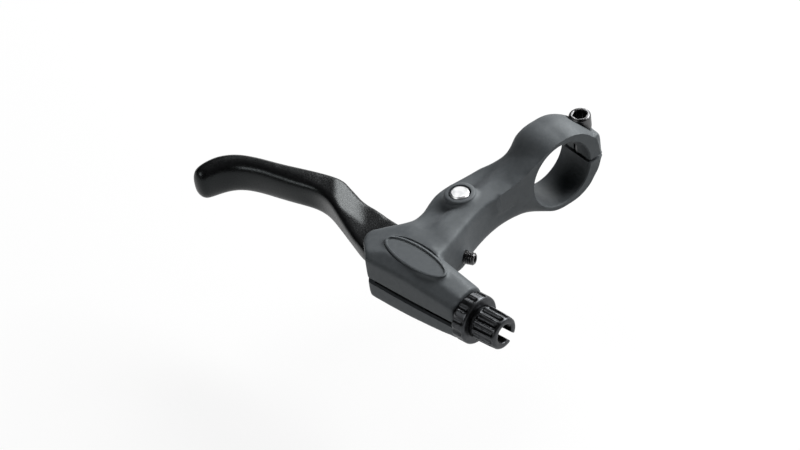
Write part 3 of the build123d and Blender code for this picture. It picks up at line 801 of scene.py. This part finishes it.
def ramp(tree, value, low, high):
    """Colour between two colours as a noise goes from its usual low to its usual high."""
    node = tree.nodes.new("ShaderNodeValToRGB")
    for element, position, colour in zip(node.color_ramp.elements, USUAL_NOISE, (low, high)):
        element.position = position
        element.color = (*colour, 1.0)
    tree.links.new(value, node.inputs["Fac"])
    return node.outputs["Color"]


def spread(tree, value, low, high):
    """Number between two values as a noise goes from its usual low to its usual high."""
    node = tree.nodes.new("ShaderNodeMapRange")
    node.inputs["From Min"].default_value = USUAL_NOISE[0]
    node.inputs["From Max"].default_value = USUAL_NOISE[1]
    node.inputs["To Min"].default_value = low
    node.inputs["To Max"].default_value = high
    tree.links.new(value, node.inputs["Value"])
    return node.outputs["Result"]


def bump(tree, shader, height, strength, distance):
    """Fine relief on a shader from a height."""
    node = tree.nodes.new("ShaderNodeBump")
    node.inputs["Strength"].default_value = strength
    node.inputs["Distance"].default_value = distance
    tree.links.new(height, node.inputs["Height"])
    tree.links.new(node.outputs["Normal"], shader.inputs["Normal"])


def grained_paint(name, low, high, rough, grain, strength, distance, specular):
    """Paint with a fine grain: patchy tone, uneven gloss and a tiny orange peel."""
    material, tree, output = new_material(name)
    shader = principled(tree, output, Specular_IOR_Level=specular, Specular_Tint=COOL_GLOSS)
    tone = object_noise(tree, grain * TONE_PER_GRAIN, detail=4.0)
    fine = object_noise(tree, grain, detail=2.0)
    tree.links.new(ramp(tree, tone, low, high), shader.inputs["Base Color"])
    tree.links.new(spread(tree, fine, *rough), shader.inputs["Roughness"])
    bump(tree, shader, fine, strength, distance)
    return material


def turned_metal(name, low, high, rough):
    """Plated or blackened metal with a faint cloudy gloss."""
    material, tree, output = new_material(name)
    shader = principled(tree, output, Metallic=1.0)
    cloud = object_noise(tree, CLOUD_SCALE, detail=3.0)
    tree.links.new(ramp(tree, cloud, low, high), shader.inputs["Base Color"])
    tree.links.new(spread(tree, cloud, *rough), shader.inputs["Roughness"])
    bump(tree, shader, object_noise(tree, TOOL_MARK_SCALE, detail=1.0), *TOOL_MARK_BUMP)
    return material


def make_materials():
    """Material of each slot of the record."""
    return {
        "body_paint": grained_paint(
            "charcoal_paint",
            low=(0.0615, 0.068, 0.0735),
            high=(0.075, 0.082, 0.088),
            rough=(0.50, 0.60),
            grain=2600.0,
            strength=0.25,
            distance=0.00006,
            specular=0.34,
        ),
        "blade_paint": grained_paint(
            "black_paint",
            low=(0.003, 0.003, 0.0033),
            high=(0.006, 0.006, 0.0064),
            rough=(0.27, 0.39),
            grain=2400.0,
            strength=0.45,
            distance=0.00008,
            specular=0.27,
        ),
        "pin_chrome": turned_metal(
            "bright_chrome",
            low=(0.62, 0.63, 0.64),
            high=(0.80, 0.80, 0.80),
            rough=(0.36, 0.50),
        ),
        "clip_steel": turned_metal(
            "spring_steel",
            low=(0.38, 0.38, 0.39),
            high=(0.50, 0.50, 0.51),
            rough=(0.28, 0.40),
        ),
        "bushing_plastic": grained_paint(
            "bearing_plastic",
            low=(0.035, 0.035, 0.035),
            high=(0.06, 0.06, 0.06),
            rough=(0.45, 0.6),
            grain=2000.0,
            strength=0.2,
            distance=0.00005,
            specular=0.5,
        ),
        "black_steel": turned_metal(
            "black_oxide",
            low=(0.07, 0.07, 0.072),
            high=(0.12, 0.12, 0.122),
            rough=(0.26, 0.38),
        ),
        "adjuster_black": turned_metal(
            "black_anodised",
            low=(0.042, 0.044, 0.047),
            high=(0.066, 0.069, 0.073),
            rough=(0.32, 0.42),
        ),
    }


def diffuse(tree, grey):
    """Matt grey surface."""
    shader = tree.nodes.new("ShaderNodeBsdfDiffuse")
    shader.inputs["Color"].default_value = (grey, grey, grey, 1.0)
    return shader


def make_floor(height):
    """Pale floor: nearly white to the camera and to mirrors, with the part's shadow, and duller otherwise."""
    material, tree, output = new_material("studio_floor")
    path = tree.nodes.new("ShaderNodeLightPath")
    seen = path.outputs["Is Camera Ray"]
    for ray in ("Is Glossy Ray", "Is Transmission Ray"):
        either = tree.nodes.new("ShaderNodeMath")
        either.operation = "MAXIMUM"
        tree.links.new(seen, either.inputs[0])
        tree.links.new(path.outputs[ray], either.inputs[1])
        seen = either.outputs["Value"]
    bounce = diffuse(tree, FLOOR_BOUNCE)
    shaded = diffuse(tree, FLOOR_WHITE)
    glow = tree.nodes.new("ShaderNodeEmission")
    pale = tree.nodes.new("ShaderNodeMixShader")
    pale.inputs["Fac"].default_value = FLOOR_GLOW
    tree.links.new(shaded.outputs["BSDF"], pale.inputs[1])
    tree.links.new(glow.outputs["Emission"], pale.inputs[2])
    mix = tree.nodes.new("ShaderNodeMixShader")
    tree.links.new(seen, mix.inputs["Fac"])
    tree.links.new(bounce.outputs["BSDF"], mix.inputs[1])
    tree.links.new(pale.outputs["Shader"], mix.inputs[2])
    tree.links.new(mix.outputs["Shader"], output.inputs["Surface"])
    half = FLOOR_SIZE / 2
    mesh = bpy.data.meshes.new("floor")
    corners = [(-half, -half, height), (half, -half, height), (half, half, height), (-half, half, height)]
    mesh.from_pydata(corners, [], [(0, 1, 2, 3)])
    mesh.materials.append(material)
    floor = bpy.data.objects.new("floor", mesh)
    bpy.context.scene.collection.objects.link(floor)


def make_sky():
    """Dim even light from all around."""
    world = bpy.data.worlds.new("studio")
    bpy.context.scene.world = world
    world.use_nodes = True
    tree = world.node_tree
    tree.nodes.clear()
    output = tree.nodes.new("ShaderNodeOutputWorld")
    sky = tree.nodes.new("ShaderNodeBackground")
    sky.inputs["Color"].default_value = (1.0, 1.0, 1.0, 1.0)
    sky.inputs["Strength"].default_value = SKY_LIGHT
    tree.links.new(sky.outputs["Background"], output.inputs["Surface"])


def softbox(name, direction, distance, width, height, power):
    """Area lamp that faces the clamp's centre, the frame's origin, from a direction."""
    light = bpy.data.lights.new(name, "AREA")
    light.shape = "RECTANGLE"
    light.size = width
    light.size_y = height
    light.energy = power
    lamp = bpy.data.objects.new(name, light)
    away = Vector(direction).normalized()
    lamp.location = away * distance
    lamp.rotation_mode = "QUATERNION"
    lamp.rotation_quaternion = (-away).to_track_quat("-Z", "Y")
    bpy.context.scene.collection.objects.link(lamp)


def make_camera():
    """Camera of the photograph, with its roll."""
    azimuth = math.radians(CAMERA_AZIMUTH)
    elevation = math.radians(CAMERA_ELEVATION)
    roll = math.radians(CAMERA_ROLL)
    flat = math.cos(elevation)
    back = Vector((math.sin(azimuth) * flat, -math.cos(azimuth) * flat, math.sin(elevation)))
    level = Vector((math.cos(azimuth), math.sin(azimuth), 0.0))
    upright = back.cross(level)
    right = level * math.cos(roll) - upright * math.sin(roll)
    up = level * math.sin(roll) + upright * math.cos(roll)
    data = bpy.data.cameras.new("camera")
    data.sensor_width = SENSOR_WIDTH
    data.lens = LENS
    data.clip_start, data.clip_end = CAMERA_CLIP
    camera = bpy.data.objects.new("camera", data)
    place = back * CAMERA_DISTANCE + right * CAMERA_RIGHT_OF_ORIGIN + up * CAMERA_ABOVE_ORIGIN
    camera.matrix_world = Matrix.Translation(place) @ Matrix((right, up, back)).transposed().to_4x4()
    bpy.context.scene.collection.objects.link(camera)
    bpy.context.scene.camera = camera


def paint(piece, material):
    """Gives a node its one material."""
    piece.data.materials.clear()
    piece.data.materials.append(material)


for unused in list(bpy.data.objects):
    bpy.data.objects.remove(unused)
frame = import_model()
cad_low, cad_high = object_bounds()
bpy.context.scene.view_settings.view_transform = "Standard"

materials = make_materials()
nodes = frame["nodes"]
for subpart in frame["record"]["subparts"]:
    paint(nodes[subpart["node"]], materials[subpart["material_slot"]])
make_body(nodes["lever_body"], materials["body_paint"])
make_blade(nodes["lever_blade"], materials["blade_paint"])
make_reach_screw(materials["black_steel"])
make_softened(
    "bolt_skin",
    nodes["clamp_bolt"],
    "clamp_bolt",
    "body",
    materials["black_steel"],
    edge_weight,
)
make_softened(
    "adjuster_skin",
    nodes["barrel_adjuster"],
    "barrel_adjuster",
    "adjuster",
    materials["adjuster_black"],
    knob_weight,
    [shank_thread("shank_thread")],
)
make_softened(
    "lock_ring_skin",
    nodes["adjuster_lock_ring"],
    "adjuster_lock_ring",
    "lock_ring",
    materials["adjuster_black"],
    edge_weight,
    [turned("ring_bore", CABLE, (ADJUSTER_BORE, 0.0), (ADJUSTER_BORE, FAR))],
)

make_floor(cad_low.z - FLOOR_DROP)
make_sky()
for lamp_values in SOFTBOXES:
    softbox(*lamp_values)
make_camera()
